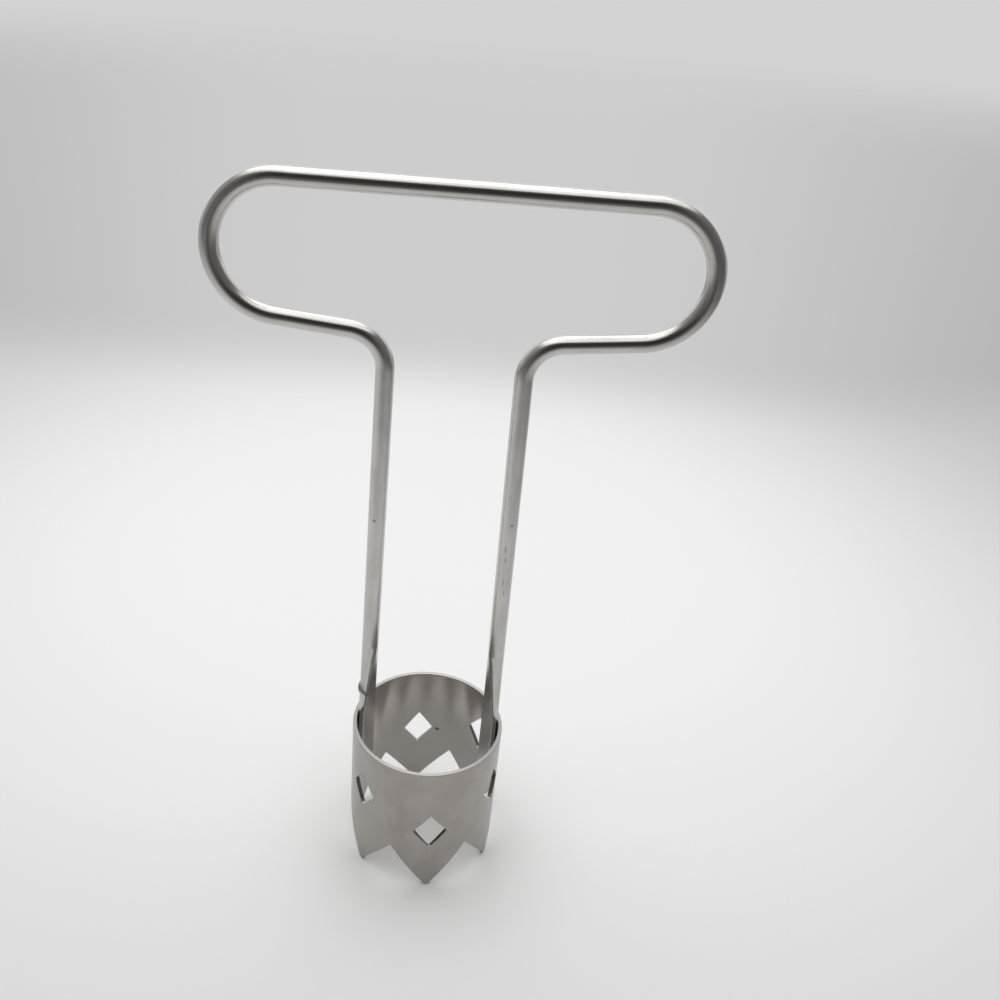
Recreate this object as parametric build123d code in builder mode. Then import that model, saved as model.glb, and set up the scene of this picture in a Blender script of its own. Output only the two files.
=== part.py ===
from build123d import *
import math
import os

# Fruit corer: a toothed steel tube carried by one bent rod that forms a closed T handle.
# Millimetres. +Z is up along the tube's axis, the origin is on that axis at the plane of
# the tooth tips, the handle's bar runs along X, and the front of the corer faces -Y.

# Cutter tube
tube_diameter = 37.5
tube_wall = 1.0
tube_length = 38.0
rim_bevel = 0.25

# Teeth, cut as straight-sided V notches between the tips
tooth_count = 6
tooth_height = 12.2
tip_width = 0.5
pattern_turn = 7.8

# Diamond holes, one above each tooth: those of the front and back tooth sit lower
hole_width = 8.2
hole_height = 10.7
low_hole_z = 19.0
high_hole_z = 24.6

# Handle rod, bent from one round bar
rod_diameter = 4.0
bar_height = 167.2
bar_straight = 72.6
end_bend_radius = 13.9
arm_slope = 5.64
shoulder_radius = 8.4
leg_splay = 0.78

# Pressed ends of the rod, seated on the inside of the tube wall behind the tube's widest line
flat_width = 8.2
flat_thickness = 1.6
press_length = 18.5
press_above_rim = 0.5
seat_depth = 20.0
seat_angle = 17.5
seat_clearance = 0.02
press_crown_angle = 30.0

# Spot weld between each pressed end and the wall
weld_diameter = 4.5
weld_depth = 4.5

# Burr on the outside of the left leg, left there by the press tool
burr_length = 3.2
burr_rise = 0.5
burr_above_rim = 5.2

# Radii and angles that follow from the sizes above
tube_radius = tube_diameter / 2
bore_radius = tube_radius - tube_wall
mid_radius = tube_radius - tube_wall / 2
rod_radius = rod_diameter / 2
tooth_pitch = 360 / tooth_count
front_tooth = -90 + pattern_turn
cutter_reach = 2 * tube_wall

# The pressed end's two round edges touch the bore, so its middle stands off the wall
edge_radius = flat_thickness / 2
edge_offset = flat_width / 2 - edge_radius
seat_radius = math.sqrt((bore_radius - seat_clearance - edge_radius) ** 2 - edge_offset**2)
seat_x = seat_radius * math.cos(math.radians(seat_angle))
seat_y = seat_radius * math.sin(math.radians(seat_angle))
flat_top = tube_length + press_above_rim
press_top = flat_top + press_length
leg_shift = math.tan(math.radians(leg_splay))


def radial_plane(angle):
    """Plane through the tube's axis: its X runs outward at the angle, its Y runs up."""
    a = math.radians(angle)
    outward = (math.cos(a), math.sin(a), 0)
    return Plane(origin=(0, 0, 0), x_dir=outward, z_dir=(math.sin(a), -math.cos(a), 0))


def wall_plane(angle, distance, height):
    """Plane square to the radius at the angle: its X runs round the wall, its Y runs up."""
    a = math.radians(angle)
    outward = Vector(math.cos(a), math.sin(a), 0)
    middle = outward * distance + Vector(0, 0, height)
    return Plane(origin=middle, x_dir=(-math.sin(a), math.cos(a), 0), z_dir=outward)


def leg_x(height):
    """The right leg's centre line: it leans inward as it rises from the tube."""
    return seat_x - leg_shift * (height - flat_top)


# V notch between two teeth: both flanks rise to its root and stay square to the rolled wall
tip_half_angle = math.degrees(tip_width / 2 / mid_radius)
flank_angle = tooth_pitch / 2 - tip_half_angle
with BuildPart() as notch:
    for turn, rise in ((-flank_angle, 0), (0, tooth_height), (flank_angle, 0)):
        with BuildSketch(radial_plane(front_tooth + tooth_pitch / 2 + turn)):
            with Locations((mid_radius, rise)):
                Rectangle(tube_wall + 2 * cutter_reach, 2 * tooth_height, align=(Align.CENTER, Align.MAX))
    loft(ruled=True)

# Diamond punches: their sides also stay square to the wall, so each one widens outward
punches = []
for tooth in range(tooth_count):
    punch_z = low_hole_z if tooth % (tooth_count // 2) == 0 else high_hole_z
    with BuildPart() as punch:
        for distance in (bore_radius - cutter_reach, tube_radius + cutter_reach):
            half_width = hole_width / 2 * distance / mid_radius
            with BuildSketch(wall_plane(front_tooth + tooth * tooth_pitch, distance, punch_z)):
                with BuildLine():
                    Polyline(
                        (-half_width, 0),
                        (0, -hole_height / 2),
                        (half_width, 0),
                        (0, hole_height / 2),
                        close=True,
                    )
                make_face()
        loft(ruled=True)
    punches.append(punch.part)

with BuildPart() as cutter_tube:
    with BuildSketch():
        Circle(tube_radius)
        Circle(bore_radius, mode=Mode.SUBTRACT)
    extrude(amount=tube_length)
    chamfer(cutter_tube.edges().filter_by(GeomType.CIRCLE).group_by(Axis.Z)[-1], length=rim_bevel)
    with PolarLocations(0, tooth_count):
        add(notch.part, mode=Mode.SUBTRACT)
    add(punches, mode=Mode.SUBTRACT)

# Half of the handle's centre line, from the middle of the bar down to the pressed end
handle_plane = Plane.XZ.offset(-seat_y)
with BuildLine(handle_plane) as half_path:
    bar = Line((0, bar_height), (bar_straight / 2, bar_height))
    end_bend = JernArc(bar @ 1, bar % 1, end_bend_radius, arm_slope - 180)
    leg_guide = Line((leg_x(press_top), press_top), (leg_x(bar_height), bar_height), mode=Mode.PRIVATE)
    arm = IntersectingLine(end_bend @ 1, end_bend % 1, leg_guide)
    leg = Line(arm @ 1, leg_guide @ 0)
    fillet(half_path.vertices().sort_by_distance(arm @ 1)[0], radius=shoulder_radius)

# The burr stands on the outer front edge of the left leg, where the leg is part pressed
edge_run = (-math.sin(math.radians(seat_angle)), math.cos(math.radians(seat_angle)), 0)
burr_z = tube_length + burr_above_rim
pressed_share = (press_top - burr_z) / press_length
edge_there = rod_radius + (edge_radius - rod_radius) * pressed_share
burr_x = -leg_x(burr_z) + edge_run[0] * edge_offset * pressed_share - edge_there
burr_y = seat_y - edge_run[1] * edge_offset * pressed_share
with BuildPart() as press_burr:
    with BuildSketch(Plane(origin=(burr_x, burr_y, burr_z), x_dir=(-1, 0, 0), z_dir=(0, 1, 0))):
        with BuildLine():
            Polyline(
                (0, -burr_length / 2),
                (burr_rise, burr_rise - burr_length / 2),
                (burr_rise, burr_length / 2 - burr_rise),
                (0, burr_length / 2),
                close=True,
            )
        make_face()
    revolve(axis=Axis((burr_x, burr_y, burr_z), (0, 0, 1)))

with BuildPart() as handle_rod:
    # X down puts the sweep's seam on the inner side of the bends
    with BuildSketch(Plane(origin=bar @ 0, x_dir=(0, 0, -1), z_dir=bar % 0)):
        Circle(rod_radius)
    sweep(path=half_path.wires()[0])

    # From round to flat: narrow flats on the rod's two crowns open out into the pressed faces
    with BuildSketch(Plane(origin=leg @ 1, x_dir=edge_run, z_dir=-(leg % 1))):
        with BuildLine():
            right_side, left_side = (
                CenterArc((0, 0), rod_radius, turn - 90 + press_crown_angle / 2, 180 - press_crown_angle)
                for turn in (0, 180)
            )
            Line(right_side @ 1, left_side @ 0)
            Line(left_side @ 1, right_side @ 0)
        make_face()
    flat_plane = Plane(origin=(seat_x, seat_y, flat_top), x_dir=edge_run, z_dir=(0, 0, 1))
    with BuildSketch(flat_plane) as flat_section:
        with BuildLine():
            for side in (1, -1):
                CenterArc((side * edge_offset, 0), edge_radius, -90 * side, 180)
                Line((side * edge_offset, side * edge_radius), (-side * edge_offset, side * edge_radius))
        make_face()
    loft()
    extrude(flat_section.sketch, amount=-(press_above_rim + seat_depth))
    mirror(about=Plane.YZ)
    add(press_burr.part)

# Each weld fills the gap between a pressed end's outer face and the bore
with BuildPart() as right_weld:
    with BuildSketch(wall_plane(seat_angle, seat_radius + edge_radius, tube_length - weld_depth)):
        Circle(weld_diameter / 2)
    extrude(amount=tube_wall)
    with BuildSketch():
        Circle(bore_radius)
    extrude(amount=tube_length, mode=Mode.INTERSECT)

with BuildPart() as left_weld:
    mirror(right_weld.part, about=Plane.YZ)

pieces = {
    "cutter_tube": cutter_tube,
    "handle_rod": handle_rod,
    "left_weld": left_weld,
    "right_weld": right_weld,
}
os.makedirs("parts", exist_ok=True)
for name, piece in pieces.items():
    piece.part.label = name
    export_step(piece.part, f"parts/{name}.step")
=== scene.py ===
import logging
import math
from collections.abc import Iterable
from dataclasses import dataclass, field
from enum import Enum

import bmesh
import bpy
from mathutils import Matrix, Vector


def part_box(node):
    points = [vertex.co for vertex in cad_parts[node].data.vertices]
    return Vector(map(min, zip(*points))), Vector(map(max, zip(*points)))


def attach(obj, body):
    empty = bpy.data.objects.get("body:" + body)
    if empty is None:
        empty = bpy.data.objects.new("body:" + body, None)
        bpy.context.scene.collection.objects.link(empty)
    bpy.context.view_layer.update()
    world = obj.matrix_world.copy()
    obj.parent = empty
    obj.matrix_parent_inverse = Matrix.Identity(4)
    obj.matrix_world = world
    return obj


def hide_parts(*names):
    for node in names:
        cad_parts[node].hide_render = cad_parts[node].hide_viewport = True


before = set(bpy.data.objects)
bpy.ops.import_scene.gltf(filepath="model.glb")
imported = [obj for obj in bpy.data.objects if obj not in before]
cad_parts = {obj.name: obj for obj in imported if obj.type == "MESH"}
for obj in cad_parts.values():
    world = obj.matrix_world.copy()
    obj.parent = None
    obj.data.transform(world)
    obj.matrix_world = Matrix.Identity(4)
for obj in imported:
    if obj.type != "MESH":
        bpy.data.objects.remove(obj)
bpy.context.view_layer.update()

# Fruit corer: a toothed steel tube carried by one bent rod that forms a closed T handle.
# Millimetres, +Z up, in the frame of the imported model: each finished mesh is scaled to metres.
# The tube is blanked, punched, rounded and rolled as a sheet is, and the rod is fed, bent and
# pressed as a round bar is.

LOG = logging.getLogger("fruit_corer")
MM = 0.001
TINY = 1e-4
BODY = "root"

# The rod's attribute. X and Y hold a point's way out from the rod's middle, where X is up on the
# bar and outwards on the legs, and Z holds the length of rod from the middle of the bar.
DRAW = "draw"

# The middle value of the noise, about which it varies.
NOISE_MIDDLE = 0.5

# How much large faces count in the shading of the edges beside them, where 50 is neutral.
FLAT_FACE_WEIGHT = 60

# A colour, or one value for each of the three axes.
Triple = tuple[float, float, float]

# Where something starts to change, and where the change is complete.
Limits = tuple[float, float]


class Wire:
    """One output of a shader node, with Python's operators for values."""

    def __init__(self, sheet: "NodeSheet", socket: bpy.types.NodeSocket) -> None:
        """Wraps a socket.

        Args:
            sheet: The node sheet that the socket belongs to.
            socket: The output socket.
        """
        self.sheet = sheet
        self.socket = socket

    def _math(self, operation: str, *operands: "Wire | float") -> "Wire":
        """Adds a Math node on these operands and returns its value."""
        return self.sheet.add("ShaderNodeMath", dict(enumerate(operands)), operation=operation)

    def __add__(self, other: "Wire | float") -> "Wire":
        """Sum of two values."""
        return self._math("ADD", self, other)

    def __sub__(self, other: "Wire | float") -> "Wire":
        """Difference of two values."""
        return self._math("SUBTRACT", self, other)

    def __rsub__(self, other: "Wire | float") -> "Wire":
        """A plain number less this value."""
        return self._math("SUBTRACT", other, self)

    def __mul__(self, other: "Wire | float") -> "Wire":
        """Product of two values."""
        return self._math("MULTIPLY", self, other)

    def __truediv__(self, other: "Wire | float") -> "Wire":
        """Quotient of two values."""
        return self._math("DIVIDE", self, other)

    def __pow__(self, other: "Wire | float") -> "Wire":
        """This value raised to a power."""
        return self._math("POWER", self, other)

    __radd__ = __add__
    __rmul__ = __mul__

    def size(self) -> "Wire":
        """The value without its sign."""
        return self._math("ABSOLUTE", self)

    def most(self, other: "Wire | float") -> "Wire":
        """The larger of two values."""
        return self._math("MAXIMUM", self, other)

    def step(self, low: float, high: float) -> "Wire":
        """Smooth step.

        Args:
            low: The value at which the step is still 0.
            high: The value from which the step is 1. It may lie below low.

        Returns:
            0 to 1, eased at both ends.
        """
        return self.sheet.add(
            "ShaderNodeMapRange",
            {"Value": self, "From Min": low, "From Max": high},
            interpolation_type="SMOOTHSTEP",
        )


class NodeSheet:
    """The nodes of one material or world."""

    # The places of a Mix node's two colours and of its mixed colour.
    MIX_FIRST = 6
    MIX_SECOND = 7
    MIX_COLOUR = 2

    # The share of a round mark's radius that is wholly marked.
    MARK_CORE = 0.3

    def __init__(self, tree: bpy.types.NodeTree) -> None:
        """Empties a node tree to build in.

        Args:
            tree: The tree of a material or world.
        """
        self.tree = tree
        tree.nodes.clear()

    def add(
        self, kind: str, inputs: dict | None = None, output: str | int = 0, **settings: object
    ) -> Wire | None:
        """Adds one node.

        Args:
            kind: The node's type.
            inputs: A number, colour or wire for each input, by its name or number.
            output: The name or number of the output to hand back.
            **settings: The node's own settings, which are set first.

        Returns:
            The chosen output, or None from a node that has none.
        """
        node = self.tree.nodes.new(kind)
        for name, value in settings.items():
            setattr(node, name, value)
        for name, value in (inputs or {}).items():
            if isinstance(value, Wire):
                self.tree.links.new(value.socket, node.inputs[name])
            else:
                node.inputs[name].default_value = value
        return Wire(self, node.outputs[output]) if len(node.outputs) else None

    def axes(self, vector: Wire) -> tuple[Wire, ...]:
        """The X, Y and Z of a vector."""
        return tuple(self.add("ShaderNodeSeparateXYZ", {"Vector": vector}, output=axis) for axis in "XYZ")

    def place(self) -> tuple[Wire, ...]:
        """The object's own coordinates in millimetres: the vector, and its X, Y and Z."""
        spot = self.stretch(self.add("ShaderNodeTexCoord", output="Object"), (1 / MM,) * 3)
        return (spot, *self.axes(spot))

    def stretch(self, vector: Wire, by: Triple) -> Wire:
        """A vector with each part multiplied."""
        return self.add("ShaderNodeVectorMath", {0: vector, 1: by}, operation="MULTIPLY")

    def measure(self, operation: str, first: Wire, second: Triple) -> Wire:
        """A value from two vectors, such as their distance or their dot product."""
        return self.add("ShaderNodeVectorMath", {0: first, 1: second}, output="Value", operation=operation)

    def noise(self, vector: Wire, cell: Triple, detail: float = 2.0, roughness: float = 0.5) -> Wire:
        """Soft noise.

        Args:
            vector: The coordinates that it follows.
            cell: The size of its cells along each axis.
            detail: How many finer noises are laid over it.
            roughness: How strong the finer ones are.

        Returns:
            0 to 1, about its middle value.
        """
        drawn = self.stretch(vector, tuple(1 / size for size in cell))
        inputs = {"Vector": drawn, "Scale": 1.0, "Detail": detail, "Roughness": roughness}
        return self.add("ShaderNodeTexNoise", inputs)

    def blend(self, share: Wire | float, first: Wire | Triple, second: Wire | Triple) -> Wire:
        """Two colours mixed.

        Args:
            share: 0 gives the first colour and 1 the second.
            first: A colour or a wire.
            second: A colour or a wire.

        Returns:
            The mixed colour.
        """
        first, second = (c if isinstance(c, Wire) else (*c, 1.0) for c in (first, second))
        inputs = {"Factor": share, self.MIX_FIRST: first, self.MIX_SECOND: second}
        return self.add("ShaderNodeMix", inputs, output=self.MIX_COLOUR, data_type="RGBA")

    def near(self, spot: Wire, centre: Vector, radius: float) -> Wire:
        """A soft round mark: 1 in its core and 0 from its radius on."""
        gap = self.measure("DISTANCE", spot, tuple(centre))
        return gap.step(radius, self.MARK_CORE * radius)

    def relief(self, height: Wire, strength: float, depth: float) -> Wire:
        """A bumpy surface's normal, with the depth in millimetres."""
        return self.add("ShaderNodeBump", {"Height": height, "Strength": strength, "Distance": depth * MM})

    def metal(self, inputs: dict) -> None:
        """Ends a material in the shader of bare metal, with its other inputs."""
        shader = self.add("ShaderNodeBsdfPrincipled", {"Metallic": 1.0, **inputs})
        self.add("ShaderNodeOutputMaterial", {"Surface": shader})


def new_material(name: str) -> tuple[bpy.types.Material, NodeSheet]:
    """Starts a node material.

    Args:
        name: The material's name.

    Returns:
        The material and its empty node sheet.
    """
    material = bpy.data.materials.new(name)
    material.use_nodes = True
    return material, NodeSheet(material.node_tree)


@dataclass(frozen=True)
class Nick:
    """A small dark scratch or pit on the steel, drawn out upwards by its stretch."""

    centre: Vector
    radius: float
    depth: float = 0.6
    stretch: float = 1.0

    def mask(self, spot: Wire) -> Wire:
        """How dark the mark is at a place.

        Args:
            spot: The object's coordinates.

        Returns:
            Its depth at its middle and 0 from its edge on.
        """
        squash = (1.0, 1.0, 1 / self.stretch)
        middle = Vector(a * b for a, b in zip(self.centre, squash))
        return spot.sheet.near(spot.sheet.stretch(spot, squash), middle, self.radius) * self.depth


@dataclass(frozen=True)
class RolledSheet:
    """Stainless sheet brushed round the tube: dull and grained outside, smoother inside, and painted lighter
    inside for the light that reaches the bore.
    """

    outside: Triple = (0.395, 0.370, 0.345)
    stained: Triple = (0.335, 0.310, 0.285)
    # Lighter than outside: partly the smoother brushed inside, partly painted light for the light that
    # reaches the bore.
    inside_with_painted_light: Triple = (0.50, 0.472, 0.445)
    cut_edge: Triple = (0.30, 0.285, 0.265)
    rim: Triple = (0.44, 0.42, 0.40)
    nick: Triple = (0.05, 0.045, 0.04)
    outside_roughness: float = 0.30
    inside_roughness: float = 0.22
    rim_roughness: float = 0.52
    stain_roughness: float = 0.10
    brush_roughness: float = 0.08
    brush_pitch: float = 0.16
    brush_length: float = 14.0
    stain_size: float = 9.0
    band_width: float = 6.0
    band_length: float = 70.0
    grain_size: float = 0.35
    stain_share: float = 0.5
    band_share: float = 0.35
    grain_share: float = 0.15
    clean_above: Limits = (0.36, 0.62)
    wall_blend: float = 0.2
    edge_blend: Limits = (0.30, 0.46)
    rim_depth: Limits = (0.5, 0.15)
    brush_height: float = 0.6
    grain_height: float = 0.4
    inside_height: float = 0.25
    relief_strength: float = 0.10
    relief_depth: float = 0.02
    anisotropy: float = 0.6
    anisotropy_turn: float = 0.25

    def material(self, tube: "CutterTube") -> bpy.types.Material:
        """Builds the finish.

        Args:
            tube: The tube, for the place of its wall and its sheared edges.

        Returns:
            The material.
        """
        material, sheet = new_material("rolled_sheet")
        spot, x, y, z = sheet.place()
        radius = (x * x + y * y) ** 0.5
        brush_cell = (self.brush_length, self.brush_length, self.brush_pitch)
        brush = sheet.noise(spot, brush_cell, detail=3.0, roughness=0.6)
        stain = sheet.noise(spot, (self.stain_size,) * 3, detail=4.0, roughness=0.55)
        bands = sheet.noise(spot, (self.band_width, self.band_width, self.band_length))
        grain = sheet.noise(spot, (self.grain_size,) * 3)

        outer = radius.step(tube.middle_radius - self.wall_blend, tube.middle_radius + self.wall_blend)
        inner_share, skin_share = self.edge_blend
        from_middle = (radius - tube.middle_radius).size()
        face = from_middle.step(inner_share * tube.wall, skin_share * tube.wall)
        rim_start, rim_full = self.rim_depth
        rim = z.step(tube.length - rim_start, tube.length - rim_full)

        clean = stain * self.stain_share + bands * self.band_share + grain * self.grain_share
        steel = sheet.blend(clean.step(*self.clean_above), self.stained, self.outside)
        # Painted light: the inside of the wall takes the lighter colour.
        steel = sheet.blend(outer, self.inside_with_painted_light, steel)
        steel = sheet.blend(1 - face, steel, self.cut_edge)
        steel = sheet.blend(rim, steel, self.rim)
        for nick in tube.nicks:
            steel = sheet.blend(nick.mask(spot), steel, self.nick)

        rough = self.inside_roughness + outer * (self.outside_roughness - self.inside_roughness)
        rough = rough + (stain - NOISE_MIDDLE) * self.stain_roughness
        rough = rough + (brush - NOISE_MIDDLE) * self.brush_roughness
        rough = rough + rim * (self.rim_roughness - self.outside_roughness)
        height = brush * self.brush_height + grain * self.grain_height
        height = height * (outer * (1 - self.inside_height) + self.inside_height)
        sheet.metal(
            {
                "Base Color": steel,
                "Roughness": rough,
                "Normal": sheet.relief(height, self.relief_strength, self.relief_depth),
                "Anisotropic": self.anisotropy,
                "Anisotropic Rotation": self.anisotropy_turn,
            }
        )
        return material


@dataclass(frozen=True)
class DrawnRod:
    """Bright drawn stainless rod: fine lines along it, duller where the press flattened it, with painted
    shade in the crease by the burr.
    """

    bright: Triple = (0.56, 0.545, 0.52)
    worn: Triple = (0.48, 0.46, 0.435)
    pressed: Triple = (0.40, 0.38, 0.36)
    nick: Triple = (0.04, 0.036, 0.032)
    # Painted shade in the crease beside the burr and round the burr's underside.
    crease_painted_shade: Triple = (0.05, 0.045, 0.04)
    crease_shade_strength: float = 0.8
    roughness: float = 0.22
    pressed_roughness: float = 0.34
    patch_roughness: float = 0.08
    line_roughness: float = 0.06
    lines_across: float = 9.0
    line_length: float = 26.0
    patches_across: float = 0.9
    patch_length: float = 11.0
    worn_above: Limits = (0.35, 0.70)
    dull_share: float = 0.35
    relief_strength: float = 0.08
    relief_depth: float = 0.02

    def material(self, rod: "HandleRod") -> bpy.types.Material:
        """Builds the finish.

        Args:
            rod: The rod, for the place of its pressed ends and marks.

        Returns:
            The material.
        """
        material, sheet = new_material("drawn_rod")
        spot, _, _, z = sheet.place()
        draw = sheet.add("ShaderNodeAttribute", output="Vector", attribute_name=DRAW)
        line_cell = (1 / self.lines_across, 1 / self.lines_across, self.line_length)
        lines = sheet.noise(draw, line_cell, detail=3.0, roughness=0.6)
        patch_cell = (1 / self.patches_across, 1 / self.patches_across, self.patch_length)
        patches = sheet.noise(draw, patch_cell, detail=4.0, roughness=0.6)
        squeezed = z.step(rod.press_top, rod.flat_top + self.dull_share * rod.press_length)
        pressed = squeezed * rod.die_mask(draw)

        steel = sheet.blend(patches.step(*self.worn_above), self.bright, self.worn)
        steel = sheet.blend(pressed, steel, self.pressed)
        for nick in rod.nicks:
            steel = sheet.blend(nick.mask(spot), steel, self.nick)
        # Painted shade: the crease and the burr's underside are darkened in the colour.
        steel = sheet.blend(rod.pinch_shade_mask(spot) * self.crease_shade_strength, steel, self.crease_painted_shade)

        rough = self.roughness + (patches - NOISE_MIDDLE) * self.patch_roughness
        rough = rough + (lines - NOISE_MIDDLE) * self.line_roughness
        rough = rough + pressed * (self.pressed_roughness - self.roughness)
        normal = sheet.relief(lines, self.relief_strength, self.relief_depth)
        sheet.metal({"Base Color": steel, "Roughness": rough, "Normal": normal})
        return material


@dataclass(frozen=True)
class WeldNugget:
    """Grey spot weld, mottled by its heat."""

    cool: Triple = (0.30, 0.28, 0.26)
    hot: Triple = (0.20, 0.17, 0.15)
    mottle_size: float = 0.8
    roughness: float = 0.45
    mottle_roughness: float = 0.2
    relief_strength: float = 0.3
    relief_depth: float = 0.05

    def material(self) -> bpy.types.Material:
        """Builds the finish.

        Returns:
            The material.
        """
        material, sheet = new_material("weld_nugget")
        spot, *_ = sheet.place()
        mottle = sheet.noise(spot, (self.mottle_size,) * 3, detail=3.0)
        sheet.metal(
            {
                "Base Color": sheet.blend(mottle, self.cool, self.hot),
                "Roughness": self.roughness + (mottle - NOISE_MIDDLE) * self.mottle_roughness,
                "Normal": sheet.relief(mottle, self.relief_strength, self.relief_depth),
            }
        )
        return material


def node_box(name: str) -> tuple[Vector, Vector]:
    """A CAD node's lowest and highest corners, in millimetres."""
    low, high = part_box(name)
    return Vector(low) / MM, Vector(high) / MM


def everything(bm: bmesh.types.BMesh) -> list:
    """A mesh's points, edges and faces in one list, as the bmesh operators take them."""
    return [*bm.verts, *bm.edges, *bm.faces]


def with_borders(faces: list[bmesh.types.BMFace]) -> list:
    """Some faces with their points and edges, as the bmesh operators take them."""
    verts = dict.fromkeys(vert for face in faces for vert in face.verts)
    edges = dict.fromkeys(edge for face in faces for edge in face.edges)
    return [*verts, *edges, *faces]


def only(kind: type, made: Iterable) -> list:
    """The elements of one kind among a bmesh operator's new geometry."""
    return [item for item in made if isinstance(item, kind)]


def cut_across(bm: bmesh.types.BMesh, place: Triple, normal: Triple) -> None:
    """Cuts a whole mesh along a plane and keeps both sides."""
    bmesh.ops.bisect_plane(bm, geom=everything(bm), dist=TINY, plane_co=place, plane_no=normal)


def round_edges(bm: bmesh.types.BMesh, edges: list, radius: float, segments: int) -> None:
    """Rounds some edges of a mesh."""
    bmesh.ops.bevel(
        bm, geom=edges, offset=radius, segments=segments, profile=0.5, material=-1, affect="EDGES"
    )


def stand(bm: bmesh.types.BMesh, name: str) -> bpy.types.Object:
    """Puts a finished bmesh into the scene, scaled from millimetres to metres.

    Args:
        bm: The mesh, which is freed.
        name: The object's name.

    Returns:
        The object.
    """
    bmesh.ops.scale(bm, verts=bm.verts, vec=(MM, MM, MM))
    mesh = bpy.data.meshes.new(name)
    bm.to_mesh(mesh)
    bm.free()
    made = bpy.data.objects.new(name, mesh)
    bpy.context.scene.collection.objects.link(made)
    return made


def finish_piece(bm: bmesh.types.BMesh, name: str, node: str) -> bpy.types.Object:
    """Turns a finished bmesh into a piece that stands for a CAD node.

    Args:
        bm: The mesh, which is freed.
        name: The piece's name.
        node: The CAD node that it replaces.

    Returns:
        The piece.
    """
    bmesh.ops.recalc_face_normals(bm, faces=bm.faces)
    for face in bm.faces:
        face.smooth = True
    piece = stand(bm, name)
    weighted = piece.modifiers.new("weighted_normals", "WEIGHTED_NORMAL")
    weighted.mode = "FACE_AREA_WITH_ANGLE"
    weighted.weight = FLAT_FACE_WEIGHT
    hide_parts(node)
    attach(piece, BODY)
    return piece


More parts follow.
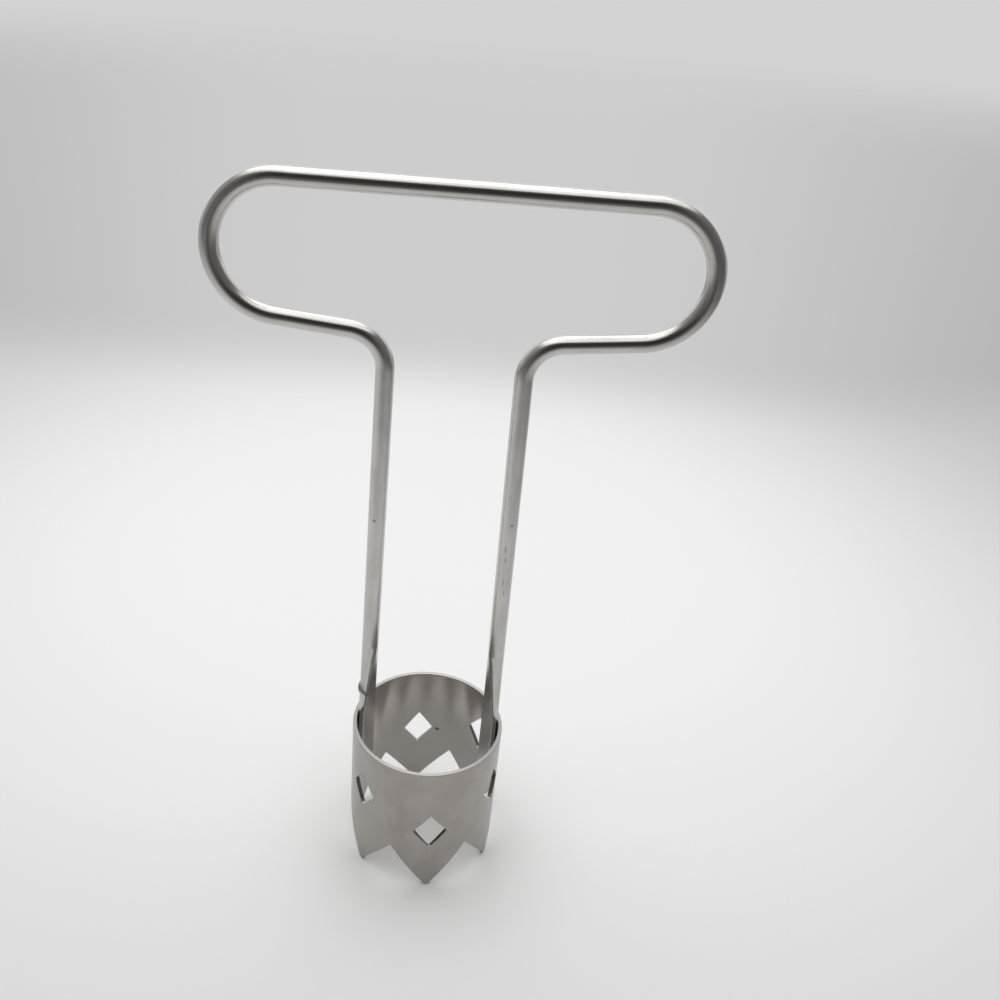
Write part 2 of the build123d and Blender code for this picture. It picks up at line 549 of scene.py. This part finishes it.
@dataclass
class CutterTube:
    """The toothed tube: one sheet, cut flat along straight lines and rolled into a ring."""

    # How far a face's normal may be off level or upright.
    OFF_SQUARE = 0.001

    wall: float = 1.0
    tooth_count: int = 6
    tooth_height: float = 12.2
    tip_width: float = 0.5
    front_tooth: float = -82.2
    hole_width: float = 8.2
    hole_height: float = 10.7
    low_hole: float = 19.0
    high_hole: float = 24.6
    rim_round: float = 0.25
    rim_segments: int = 4
    edge_round: float = 0.11
    edge_segments: int = 2
    seam_share: float = 0.25
    columns: int = 240
    nicks: tuple[Nick, ...] = (
        Nick(Vector((2.9, 17.5, 18.9)), 0.75, 0.85),
        Nick(Vector((2.2, 17.6, 19.0)), 0.45, 0.6),
        Nick(Vector((9.0, -16.4, 22.5)), 0.4, 0.4),
    )
    radius: float = field(init=False)
    length: float = field(init=False)

    def __post_init__(self) -> None:
        """Takes the tube's radius and length from its CAD node."""
        low, high = node_box("cutter_tube")
        self.radius = (high.x - low.x) / 2
        self.length = high.z

    @property
    def middle_radius(self) -> float:
        """Radius of the middle of the wall, along which the sheet keeps its length."""
        return self.radius - self.wall / 2

    @property
    def pitch(self) -> float:
        """Length of sheet from one tooth to the next."""
        return 2 * math.pi * self.middle_radius / self.tooth_count

    @property
    def sheet_length(self) -> float:
        """Length of the whole flat sheet."""
        return self.tooth_count * self.pitch

    @property
    def seam(self) -> float:
        """Place along the sheet where its two ends meet, clear of every tooth and hole."""
        return -self.seam_share * self.pitch

    @staticmethod
    def trim(
        bm: bmesh.types.BMesh, known: set[bmesh.types.BMFace], start: Vector, end: Vector, keep: Vector
    ) -> None:
        """Cuts the newest faces of the flat sheet along a line and drops one side.

        Args:
            bm: The sheet, in the XZ plane.
            known: The older faces, which stay as they are.
            start: A point on the line.
            end: Another point on the line.
            keep: A point on the side that stays.
        """
        across = (end - start).cross(Vector((0, 1, 0))).normalized()
        if (keep - start).dot(across) > 0:
            across.negate()
        newest = with_borders([face for face in bm.faces if face not in known])
        bmesh.ops.bisect_plane(bm, geom=newest, dist=TINY, plane_co=start, plane_no=across, clear_outer=True)

    def punch_cell(self, bm: bmesh.types.BMesh, centre: float, hole: float) -> None:
        """Blanks one tooth with the diamond hole above it.

        Args:
            bm: The sheet that the cell is added to.
            centre: The tooth's middle along the sheet.
            hole: The height of the diamond's middle.
        """
        half, rise = self.pitch / 2, self.hole_height / 2
        root, tip = Vector((half, 0, self.tooth_height)), Vector((self.tip_width / 2, 0, 0))
        corner = Vector((self.hole_width / 2, 0, hole))
        before = set(bm.faces)
        for low, high, point in ((0.0, hole, hole - rise), (hole, self.length, hole + rise)):
            known = set(bm.faces)
            corners = ((0, low), (half, low), (half, high), (0, high))
            bm.faces.new([bm.verts.new((x, 0, z)) for x, z in corners])
            self.trim(bm, known, corner, Vector((0, 0, point)), Vector((half, 0, hole)))
            if low < self.tooth_height:
                self.trim(bm, known, root, tip, Vector((0, 0, hole)))
        half_cell = with_borders([face for face in bm.faces if face not in before])
        bmesh.ops.mirror(bm, geom=half_cell, merge_dist=TINY, axis="X")
        cell = with_borders([face for face in bm.faces if face not in before])
        bmesh.ops.translate(bm, verts=only(bmesh.types.BMVert, cell), vec=(centre, 0, 0))

    def before_seam(self, bm: bmesh.types.BMesh) -> list[bmesh.types.BMFace]:
        """The faces of the sheet that lie before its seam."""
        return [face for face in bm.faces if face.calc_center_median().x < self.seam]

    def blank(self) -> bmesh.types.BMesh:
        """Cuts the whole flat sheet.

        Returns:
            The sheet's middle surface, along X from its seam on.
        """
        bm = bmesh.new()
        for tooth in range(self.tooth_count):
            front_or_back = tooth % (self.tooth_count // 2) == 0
            self.punch_cell(bm, tooth * self.pitch, self.low_hole if front_or_back else self.high_hole)
        # Each cell is cut at both heights, so that neighbouring cells share their points.
        for hole in (self.low_hole, self.high_hole):
            cut_across(bm, (0, 0, hole), (0, 0, 1))
        bmesh.ops.remove_doubles(bm, verts=bm.verts, dist=TINY)
        cut_across(bm, (self.seam, 0, 0), (1, 0, 0))
        bmesh.ops.split(bm, geom=self.before_seam(bm))
        moved = only(bmesh.types.BMVert, with_borders(self.before_seam(bm)))
        bmesh.ops.translate(bm, verts=moved, vec=(self.sheet_length, 0, 0))
        bmesh.ops.remove_doubles(bm, verts=bm.verts, dist=TINY)
        return bm

    def thicken(self, bm: bmesh.types.BMesh) -> None:
        """Gives the sheet its wall, opens its two ends and rounds its sheared edges and its rim.

        Args:
            bm: The sheet's middle surface.
        """
        bmesh.ops.translate(bm, verts=bm.verts, vec=(0, -self.wall / 2, 0))
        made = bmesh.ops.extrude_face_region(bm, geom=bm.faces[:], use_keep_orig=True)
        raised = only(bmesh.types.BMVert, made["geom"])
        bmesh.ops.translate(bm, verts=raised, vec=(0, self.wall, 0))
        bmesh.ops.recalc_face_normals(bm, faces=bm.faces)
        ends = (self.seam, self.seam + self.sheet_length)
        caps = [face for face in bm.faces if min(abs(face.calc_center_median().x - x) for x in ends) < TINY]
        bmesh.ops.delete(bm, geom=caps, context="FACES")
        rim = [edge for edge in bm.edges if self.is_sheared(edge) and self.is_at_rim(edge)]
        round_edges(bm, rim, self.rim_round, self.rim_segments)
        cut = [edge for edge in bm.edges if self.is_sheared(edge) and not self.is_at_rim(edge)]
        round_edges(bm, cut, self.edge_round, self.edge_segments)

    def is_at_rim(self, edge: bmesh.types.BMEdge) -> bool:
        """Whether an edge starts at the height of the rim."""
        return edge.verts[0].co.z > self.length - TINY

    def is_sheared(self, edge: bmesh.types.BMEdge) -> bool:
        """Whether an edge lies between a face of the sheet and its cut side.

        Args:
            edge: The edge, on the flat sheet.

        Returns:
            True for an edge that the shears or the punch left sharp.
        """
        if len(edge.link_faces) != 2:
            return False
        flat = [abs(face.normal.y) > 1 - self.OFF_SQUARE for face in edge.link_faces]
        cut = [abs(face.normal.y) < self.OFF_SQUARE for face in edge.link_faces]
        return any(flat) and any(cut)

    def roll(self, bm: bmesh.types.BMesh) -> None:
        """Slices the sheet into narrow columns and rolls it into a closed ring.

        Args:
            bm: The sheet with its wall.
        """
        for column in range(1, self.columns):
            cut_across(bm, (self.seam + self.sheet_length * column / self.columns, 0, 0), (1, 0, 0))
        for vert in bm.verts:
            angle = math.radians(self.front_tooth) + vert.co.x / self.middle_radius
            reach = self.middle_radius + vert.co.y
            vert.co = (reach * math.cos(angle), reach * math.sin(angle), vert.co.z)
        bmesh.ops.remove_doubles(bm, verts=bm.verts, dist=TINY)

    def build(self) -> bpy.types.Object:
        """Makes the tube.

        Returns:
            Its piece.
        """
        bm = self.blank()
        self.thicken(bm)
        self.roll(bm)
        piece = finish_piece(bm, "cutter_tube_rolled", "cutter_tube")
        piece.data.materials.append(RolledSheet().material(self))
        return piece


@dataclass
class RodEnd:
    """The open end of the rod while it is drawn, with its heading in radians in the XZ plane."""

    bm: bmesh.types.BMesh
    ring: list[bmesh.types.BMEdge]
    run: float = 0.0
    heading: float = 0.0
    bend_step: float = 3.0

    @property
    def verts(self) -> list[bmesh.types.BMVert]:
        """The points of the ring."""
        return list(dict.fromkeys(vert for edge in self.ring for vert in edge.verts))

    @property
    def middle(self) -> Vector:
        """The middle of the rod at its end."""
        return sum((vert.co for vert in self.verts), Vector()) / len(self.ring)

    def grow(self, made: list, length: float) -> list[bmesh.types.BMVert]:
        """Moves the end on to what an operator has just made.

        Args:
            made: The operator's new geometry.
            length: The length of rod that it adds.

        Returns:
            The new end's points, with the length of rod up to them in their draw attribute.
        """
        self.ring = only(bmesh.types.BMEdge, made)
        self.run += length
        verts = only(bmesh.types.BMVert, made)
        layer = self.bm.verts.layers.float_vector[DRAW]
        for vert in verts:
            out_x, out_y, _ = vert[layer]
            vert[layer] = (out_x, out_y, self.run)
        return verts

    def feed(self, length: float) -> list[bmesh.types.BMVert]:
        """Draws the rod straight on.

        Args:
            length: How far to draw it.

        Returns:
            The new end's points.
        """
        verts = self.grow(bmesh.ops.extrude_edge_only(self.bm, edges=self.ring)["geom"], length)
        step = Vector((math.cos(self.heading), 0, math.sin(self.heading))) * length
        bmesh.ops.translate(self.bm, verts=verts, vec=step)
        return verts

    def bend(self, turn: float, radius: float) -> None:
        """Bends the rod round a former.

        Args:
            turn: The turn in radians, to the left if positive.
            radius: The bend's radius at the rod's middle.
        """
        steps = round(abs(turn) / math.radians(self.bend_step))
        left = Vector((-math.sin(self.heading), 0, math.cos(self.heading)))
        centre = self.middle + left * math.copysign(radius, turn)
        for _ in range(steps):
            made = bmesh.ops.spin(
                self.bm, geom=[*self.verts, *self.ring], cent=centre, axis=(0, -1, 0), angle=turn / steps,
                steps=1, use_merge=False, use_normal_flip=False, use_duplicate=False,
            )["geom_last"]
            self.grow(made, radius * abs(turn) / steps)
        self.heading += turn


@dataclass
class HandleRod:
    """The handle: one round bar, bent into a closed T and pressed flat at both ends."""

    rod_radius: float = 2.0
    bar_straight: float = 72.6
    end_bend_radius: float = 13.9
    arm_slope: float = 5.64
    shoulder_radius: float = 8.4
    leg_splay: float = 0.78
    flat_width: float = 8.2
    flat_thickness: float = 1.6
    press_length: float = 18.5
    press_above_rim: float = 0.5
    seat_angle: float = 17.5
    seat_clearance: float = 0.02
    crown_angle: float = 30.0
    edge_bluntness: float = 0.32
    end_round: float = 0.15
    end_segments: int = 2
    die_reach: Limits = (0.90, 0.965)
    burr_length: float = 3.2
    burr_rise: float = 0.5
    burr_above_rim: float = 6.8
    burr_half_depth: float = 0.9
    burr_half_width: float = 1.2
    # Radius of the painted shade round the burr.
    burr_shade: float = 2.2
    crease_rise: float = 0.1
    crease_slope: float = 0.7
    crease_width: float = 0.5
    crease_depth: float = 0.05
    crease_reach: float = 2.2
    # How the painted shade of the crease fades across it and towards the leg's outer side.
    crease_shade_fade: Limits = (0.95, 0.35)
    pinch_shade_fade: Limits = (2.6, 1.2)
    sides: int = 48
    press_steps: int = 44
    nicks: tuple[Nick, ...] = (
        Nick(Vector((-15.6, 3.0, 93.5)), 0.55),
        Nick(Vector((15.6, 3.0, 94.9)), 0.50),
        Nick(Vector((14.75, 3.0, 88.4)), 0.26, 0.5, 5.0),
        Nick(Vector((15.05, 3.0, 85.6)), 0.24, 0.45, 5.0),
        Nick(Vector((15.1, 3.0, 79.4)), 0.24, 0.35, 6.0),
        Nick(Vector((15.5, 3.0, 76.4)), 0.24, 0.4, 5.0),
    )
    rim: float = field(init=False)
    bore: float = field(init=False)
    plane_y: float = field(init=False)
    bar_height: float = field(init=False)
    end_height: float = field(init=False)

    def __post_init__(self) -> None:
        """Takes the seat, the bar's height and the rod's plane from the CAD nodes."""
        tube_low, tube_high = node_box("cutter_tube")
        low, high = node_box("handle_rod")
        self.rim = tube_high.z
        self.bore = (tube_high.x - tube_low.x) / 2 - CutterTube.wall
        self.plane_y = (low.y + high.y) / 2
        self.bar_height = high.z - self.rod_radius
        self.end_height = low.z

    @property
    def flat_top(self) -> float:
        """Height at which the rod has reached its flat section."""
        return self.rim + self.press_above_rim

    @property
    def press_top(self) -> float:
        """Height at which the press begins to flatten the round leg."""
        return self.flat_top + self.press_length

    @property
    def seat_x(self) -> float:
        """Where the flat section stands with its rounded edges against the bore.

        Returns:
            The distance of its middle from the tube's axis, along X.
        """
        edge = self.flat_thickness / 2
        reach = self.bore - self.seat_clearance - edge
        out = math.sqrt(reach**2 - (self.flat_width / 2 - edge) ** 2)
        return out * math.cos(math.radians(self.seat_angle))

    @property
    def press_turn(self) -> float:
        """Angle from +X to the way the flat section is wide, in radians."""
        return math.radians(90 + self.seat_angle)

    def leg_x(self, height: float) -> float:
        """Distance of the right leg's middle from the axis at a height."""
        return self.seat_x - math.tan(math.radians(self.leg_splay)) * (height - self.flat_top)

    def start(self, bm: bmesh.types.BMesh) -> RodEnd:
        """Draws the round section at the middle of the bar, heading along +X.

        Args:
            bm: The empty mesh.

        Returns:
            The rod's open end.
        """
        layer = bm.verts.layers.float_vector.new(DRAW)
        middle = Vector((0, self.plane_y, self.bar_height))
        phase = math.remainder(self.press_turn, 2 * math.pi / self.sides)
        upright = Matrix.Translation(middle) @ Matrix.Rotation(math.pi / 2, 4, "Y")
        turned = upright @ Matrix.Rotation(-phase, 4, "Z")
        bmesh.ops.create_circle(bm, segments=self.sides, radius=self.rod_radius, matrix=turned)
        for vert in bm.verts:
            out = (vert.co - middle) / self.rod_radius
            vert[layer] = (out.z, out.y, 0.0)
        return RodEnd(bm, bm.edges[:])

    def section(self, around: float, share: float) -> tuple[float, float]:
        """One point of the rod's section in the press.

        Args:
            around: The point's angle on the round rod, from the way the flat gets wide.
            share: 0 for the round rod and 1 for the flat end.

        Returns:
            The point's place along the flat's width and through its thickness. The inner front
            corner, at a negative width and a positive thickness, is squarer than the other three.
        """
        edge = self.flat_thickness / 2
        reach = self.flat_width / 2 - edge
        side_half = math.pi / 2 - math.radians(self.crown_angle) / 2
        along, through = self.rod_radius * math.cos(around), self.rod_radius * math.sin(around)
        from_side = math.remainder(around, math.pi)
        in_edge = abs(from_side) <= side_half + TINY
        if in_edge:
            wide = from_side / side_half * math.pi / 2
            sign = math.copysign(1.0, math.cos(around))
            flat_along = sign * (reach + edge * math.cos(wide))
            flat_through = sign * edge * math.sin(wide)
        else:
            flat_along = reach * math.cos(around) / math.cos(side_half)
            flat_through = math.copysign(edge, math.sin(around))
        along += (flat_along - along) * share
        through += (flat_through - through) * share
        if in_edge and along < 0 < through:
            beyond = -along - reach * share
            size, corner = math.hypot(beyond, through), math.atan2(through, beyond)
            blunt = 1 - (1 - self.edge_bluntness) * math.sin(share * math.pi / 2)
            along = -reach * share - size * math.cos(corner) ** blunt
            through = size * math.sin(corner) ** blunt
        return along, through

    def press(self, end: RodEnd) -> None:
        """Presses the leg from round to flat, runs the flat down to its end and closes it.

        Args:
            end: The rod's open end at the top of the press, which moves on.
        """
        layer = end.bm.verts.layers.float_vector[DRAW]
        wide = Vector((math.cos(self.press_turn), math.sin(self.press_turn), 0))
        deep = Vector((-wide.y, wide.x, 0))
        step = self.press_length / self.press_steps
        heights = [self.press_top - step * k for k in range(1, self.press_steps + 1)]
        last = self.press_top
        for height in (*heights, self.end_height + self.flat_thickness, self.end_height):
            share = min(1.0, (self.press_top - height) / self.press_length)
            middle = Vector((self.leg_x(max(height, self.flat_top)), self.plane_y, height))
            for vert in end.feed(last - height):
                around = math.atan2(vert[layer].y, vert[layer].x) - self.press_turn
                along, through = self.section(around, share)
                vert.co = middle + wide * along + deep * through
            last = height
        cap = bmesh.ops.holes_fill(end.bm, edges=end.ring, sides=0)["faces"]
        rim = [edge for face in cap for edge in face.edges]
        round_edges(end.bm, rim, self.end_round, self.end_segments)

    def burr_place(self) -> Vector:
        """The middle of the burr.

        Returns:
            A point on the outer front edge of the left leg.
        """
        height = self.rim + self.burr_above_rim
        share = (self.press_top - height) / self.press_length
        edge = self.rod_radius + (self.flat_thickness / 2 - self.rod_radius) * share
        reach = (self.flat_width - self.flat_thickness) / 2 * share
        wide = math.radians(self.seat_angle)
        x = -self.leg_x(height) - math.sin(wide) * reach - edge
        return Vector((x, self.plane_y - math.cos(wide) * reach, height))

    def raise_burr(self, bm: bmesh.types.BMesh) -> None:
        """Swells the small burr out of the left leg and presses the crease beside it.

        Args:
            bm: The whole rod.
        """
        burr = self.burr_place()
        for vert in bm.verts:
            away = vert.co - burr
            if vert.co.x > 0 or abs(away.z) > 2 * self.burr_length:
                continue
            high = max(0.0, 1 - (2 * away.z / self.burr_length) ** 2)
            deep = max(0.0, 1 - (away.y / self.burr_half_depth) ** 2)
            wide = max(0.0, 1 - (away.x / self.burr_half_width) ** 2)
            vert.co.x -= self.burr_rise * math.sqrt(high) * deep * wide
            groove = (away.z - self.crease_rise + self.crease_slope * away.x) / self.crease_width
            if vert.co.y < self.plane_y and away.x < self.crease_reach:
                vert.co.y += self.crease_depth * math.exp(-groove * groove)

    def die_mask(self, draw: Wire) -> Wire:
        """Which sides of the rod the press touches.

        Args:
            draw: The rod's draw attribute.

        Returns:
            1 on the two pressed sides, 0 on the edges.
        """
        through = (-math.sin(self.press_turn), math.cos(self.press_turn), 0.0)
        return draw.sheet.measure("DOT_PRODUCT", draw, through).size().step(*self.die_reach)

    def pinch_shade_mask(self, spot: Wire) -> Wire:
        """Where shade is painted on the left leg's front edge, in the crease that the press pinched and
        round the burr.

        Args:
            spot: The object's coordinates.

        Returns:
            1 in the painted shade of the crease and round the burr's underside, 0 away from them.
        """
        burr = self.burr_place()
        x, y, z = spot.sheet.axes(spot)
        off_line = (z - (burr.z + self.crease_rise) + (x - burr.x) * self.crease_slope).size()
        shade = spot.sheet.near(spot, burr, self.burr_shade)
        dark = off_line.step(*self.crease_shade_fade).most(shade)
        start, full = self.pinch_shade_fade
        outer = x.step(burr.x + start, burr.x + full)
        front = y.step(self.plane_y, burr.y + self.burr_half_depth)
        return dark * outer * front

    def straights(self, end: RodEnd) -> tuple[float, float, float]:
        """Measures the arm and the leg, whose lines meet at the shoulder.

        Args:
            end: The open end after the bend at the end of the bar.

        Returns:
            The arm's length up to the shoulder bend, the leg's length from there to the press, and
            the bend's turn in radians.
        """
        down = math.radians(self.leg_splay) - math.pi / 2
        arm = Vector((math.cos(end.heading), math.sin(end.heading)))
        leg = Vector((math.cos(down), math.sin(down)))
        gap = Vector((self.leg_x(self.press_top), self.press_top)) - end.middle.xz
        arm_length = gap.cross(leg) / arm.cross(leg)
        leg_length = (gap - arm * arm_length).length
        turn = down - end.heading
        tangent = self.shoulder_radius * math.tan(turn / 2)
        return arm_length - tangent, leg_length - tangent, turn

    def build(self) -> bpy.types.Object:
        """Makes the right half of the rod, mirrors it and adds the burr.

        Returns:
            Its piece.
        """
        bm = bmesh.new()
        end = self.start(bm)
        end.feed(self.bar_straight / 2)
        end.bend(math.radians(self.arm_slope) - math.pi, self.end_bend_radius)
        arm_length, leg_length, shoulder_turn = self.straights(end)
        end.feed(arm_length)
        end.bend(shoulder_turn, self.shoulder_radius)
        end.feed(leg_length)
        self.press(end)
        bmesh.ops.mirror(bm, geom=everything(bm), matrix=Matrix.Identity(4), merge_dist=TINY, axis="X")
        self.raise_burr(bm)
        piece = finish_piece(bm, "handle_rod_bent", "handle_rod")
        piece.data.materials.append(DrawnRod().material(self))
        return piece


@dataclass
class SpotWelds:
    """The hidden welds between the pressed ends and the wall."""

    nodes: tuple[str, str] = ("left_weld", "right_weld")

    def dress(self) -> list[bpy.types.Object]:
        """Gives both CAD solids their finish.

        Returns:
            Their objects.
        """
        material = WeldNugget().material()
        welds = [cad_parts[name] for name in self.nodes]
        for weld in welds:
            for slot in weld.material_slots:
                slot.material = material
        return welds


class Tone(Enum):
    """Pale and dark tones of the set, as linear grey."""

    # The floor's painted pool of light, brightest just behind the object, and its dim edge.
    FLOOR_PAINTED_LIT = 0.765
    FLOOR_PAINTED_DIM = 0.53
    # The glowing backdrop, with painted shade to its sides and lighter far out.
    BACKDROP = 0.61
    BACKDROP_SIDE = 0.46
    BACKDROP_TOP = 0.65
    # The floor as the metal reflects it: painted shade of the room, darkest in front and to the right.
    GLOSS_NEAR = 0.72
    GLOSS_LEFT = 0.46
    GLOSS_RIGHT = 0.20
    GLOSS_FRONT = 0.07
    ROOM_LEFT = 0.40
    ROOM_RIGHT = 0.22
    ROOM_BACK = 1.05
    ROOM_FRONT = 0.03
    CEILING = 1.5

    @property
    def grey(self) -> Triple:
        """The tone as a colour."""
        return (self.value,) * 3


@dataclass(frozen=True)
class DarkFront:
    """The dark side of the set in front of the object, weaker to its right and left."""

    ahead: Limits
    sides: Limits
    right_fade: float = 0.7
    left_fade: float = 0.4

    def mask(self, x: Wire, y: Wire) -> Wire:
        """How far a place lies in the dark front.

        Args:
            x: The place's X.
            y: The place's Y.

        Returns:
            1 straight ahead and 0 behind.
        """
        near, far = self.sides
        right, left = x.step(near, far), x.step(-near, -far)
        return y.step(*self.ahead) * (1 - right * self.right_fade - left * self.left_fade)


@dataclass
class PaleFloor:
    """A pale sheet with a painted pool of light just behind the object and painted shade of the room in
    reflections, that melts into a glowing grey backdrop with painted shade to its sides.
    """

    radius: float = 4000.0
    corners: int = 96
    # The floor's painted pool of light: its middle, its squash and its fade.
    painted_pool_y: float = 150.0
    bright_squash_x: float = 1.2
    bright_squash_y: float = 1.3
    painted_pool_fade: Limits = (110.0, 430.0)
    # Where the floor's painted shade of the room darkens its reflections.
    gloss_right: Limits = (40.0, 420.0)
    gloss_left: Limits = (-150.0, -700.0)
    gloss_front: DarkFront = DarkFront((-20.0, -560.0), (100.0, 500.0))
    gloss_back: Limits = (60.0, 270.0)
    backdrop: Limits = (270.0, 410.0)
    melt: Limits = (420.0, 1100.0)
    top: Limits = (1300.0, 3500.0)
    # The fan of painted shade on the backdrop's sides.
    fan_start: float = 180.0
    fan_dim: Limits = (0.12, 0.75)
    fan_edge: Limits = (1.6, 0.8)

    def lay(self) -> None:
        """Lays the floor."""
        bm = bmesh.new()
        bmesh.ops.create_circle(bm, cap_ends=True, segments=self.corners, radius=self.radius)
        floor = stand(bm, "floor")
        floor.data.materials.append(self.material())

    def material(self) -> bpy.types.Material:
        """Builds the floor's finish.

        Returns:
            A matt sheet with a painted pool of light and painted shade of the room in reflections, and a
            glowing backdrop behind it and far out.
        """
        material, sheet = new_material("pale_floor")
        _, x, y, _ = sheet.place()
        away = (x * x + y * y) ** 0.5
        reach_x, reach_y = x * self.bright_squash_x, (y - self.painted_pool_y) * self.bright_squash_y
        reach = (reach_x**2 + reach_y**2) ** 0.5
        # Painted light: a pool of light in the floor's own colour.
        floor_with_painted_pool = sheet.blend(reach.step(*self.painted_pool_fade), Tone.FLOOR_PAINTED_LIT.grey, Tone.FLOOR_PAINTED_DIM.grey)

        # Painted shade: the floor takes darker tones in reflections, for the shaded room round it.
        reflected_painted_shade = sheet.blend(x.step(*self.gloss_right), Tone.GLOSS_NEAR.grey, Tone.GLOSS_RIGHT.grey)
        reflected_painted_shade = sheet.blend(x.step(*self.gloss_left), reflected_painted_shade, Tone.GLOSS_LEFT.grey)
        reflected_painted_shade = sheet.blend(self.gloss_front.mask(x, y), reflected_painted_shade, Tone.GLOSS_FRONT.grey)
        reflected_painted_shade = sheet.blend(y.step(*self.gloss_back), reflected_painted_shade, Tone.BACKDROP.grey)
        glossy_ray = sheet.add("ShaderNodeLightPath", output="Is Glossy Ray")
        camera_ray = sheet.add("ShaderNodeLightPath", output="Is Camera Ray")
        matt = sheet.add("ShaderNodeBsdfDiffuse", {"Color": sheet.blend(glossy_ray, floor_with_painted_pool, reflected_painted_shade)})

        # Painted shade: the glowing backdrop darkens to its sides.
        spread = (x / (y + self.fan_start).most(1.0)).size()
        aside_painted_shade = spread.step(*self.fan_dim) * spread.step(*self.fan_edge)
        backdrop = sheet.blend(aside_painted_shade, Tone.BACKDROP.grey, Tone.BACKDROP_SIDE.grey)
        backdrop = sheet.blend(away.step(*self.top), backdrop, Tone.BACKDROP_TOP.grey)
        glow = sheet.add("ShaderNodeEmission", {"Color": backdrop, "Strength": 1.0})
        behind = y.step(*self.backdrop) * camera_ray.most(glossy_ray)
        around = away.step(*self.melt) * camera_ray
        shader = sheet.add("ShaderNodeMixShader", {0: behind.most(around), 1: matt, 2: glow})
        sheet.add("ShaderNodeOutputMaterial", {"Surface": shader})
        return material


@dataclass
class SoftRoom:
    """The light: a soft bright ceiling, dim walls, a dark front and one broad lamp."""

    across: Limits = (-0.4, 0.4)
    back: Limits = (0.1, 0.7)
    front: DarkFront = DarkFront((-0.2, -0.65), (0.2, 0.6))
    ceiling: Limits = (0.64, 0.82)
    lamp_place: Triple = (-60.0, 110.0, 620.0)
    lamp_width: float = 500.0
    lamp_length: float = 400.0
    lamp_power: float = 0.9

    def light(self) -> None:
        """Lights the room by its world, which the camera sees as the backdrop's top."""
        world = bpy.data.worlds.new("soft_room")
        bpy.context.scene.world = world
        world.use_nodes = True
        sheet = NodeSheet(world.node_tree)
        x, y, z = sheet.axes(sheet.add("ShaderNodeTexCoord", output="Generated"))
        walls = sheet.blend(x.step(*self.across), Tone.ROOM_LEFT.grey, Tone.ROOM_RIGHT.grey)
        walls = sheet.blend(y.step(*self.back), walls, Tone.ROOM_BACK.grey)
        walls = sheet.blend(self.front.mask(x, y), walls, Tone.ROOM_FRONT.grey)
        dome = sheet.blend(z.step(*self.ceiling), walls, Tone.CEILING.grey)
        camera_ray = sheet.add("ShaderNodeLightPath", output="Is Camera Ray")
        seen = sheet.blend(camera_ray, dome, Tone.BACKDROP_TOP.grey)
        shader = sheet.add("ShaderNodeBackground", {"Color": seen, "Strength": 1.0})
        sheet.add("ShaderNodeOutputWorld", {"Surface": shader})

    def hang_lamp(self) -> None:
        """Hangs the broad soft lamp above and behind the object, pointed at its foot."""
        data = bpy.data.lights.new("soft_lamp", "AREA")
        data.shape = "RECTANGLE"
        data.size, data.size_y = self.lamp_width * MM, self.lamp_length * MM
        data.energy = self.lamp_power
        lamp = bpy.data.objects.new("soft_lamp", data)
        bpy.context.scene.collection.objects.link(lamp)
        lamp.location = Vector(self.lamp_place) * MM
        lamp.rotation_euler = (-lamp.location).to_track_quat("-Z", "Y").to_euler()


@dataclass
class PhotoCamera:
    """The camera at the photograph's place, turn and lens, with its turns in degrees."""

    place: Triple = (-0.874404, -180.188, 204.494)
    azimuth: float = 0.9485
    elevation: float = 29.1158
    roll: float = 4.7441
    lens: float = 34.039
    sensor: float = 36.0
    shift_x: float = 0.04484
    shift_y: float = -0.00752
    clip_start: float = 10.0

    def set_up(self) -> None:
        """Puts the camera into the scene, which then uses it."""
        data = bpy.data.cameras.new("photo_camera")
        data.sensor_width, data.lens = self.sensor, self.lens
        data.shift_x, data.shift_y = self.shift_x, self.shift_y
        data.clip_start = self.clip_start * MM
        camera = bpy.data.objects.new("photo_camera", data)
        bpy.context.scene.collection.objects.link(camera)
        turn = (
            Matrix.Rotation(-math.radians(self.azimuth), 4, "Z")
            @ Matrix.Rotation(math.radians(90 - self.elevation), 4, "X")
            @ Matrix.Rotation(math.radians(self.roll), 4, "Z")
        )
        camera.matrix_world = Matrix.Translation(Vector(self.place) * MM) @ turn
        bpy.context.scene.camera = camera


def main() -> None:
    """Builds the corer and its set, and reports each piece."""
    logging.basicConfig(level=logging.INFO, format="%(name)s: %(message)s")
    for maker in (CutterTube(), HandleRod()):
        piece = maker.build()
        LOG.info("%s: %d faces", piece.name, len(piece.data.polygons))
    for weld in SpotWelds().dress():
        LOG.info("%s: dressed", weld.name)
    PaleFloor().lay()
    room = SoftRoom()
    room.light()
    room.hang_lamp()
    PhotoCamera().set_up()
    bpy.context.scene.view_settings.view_transform = "Standard"


if __name__ == "__main__":
    main()
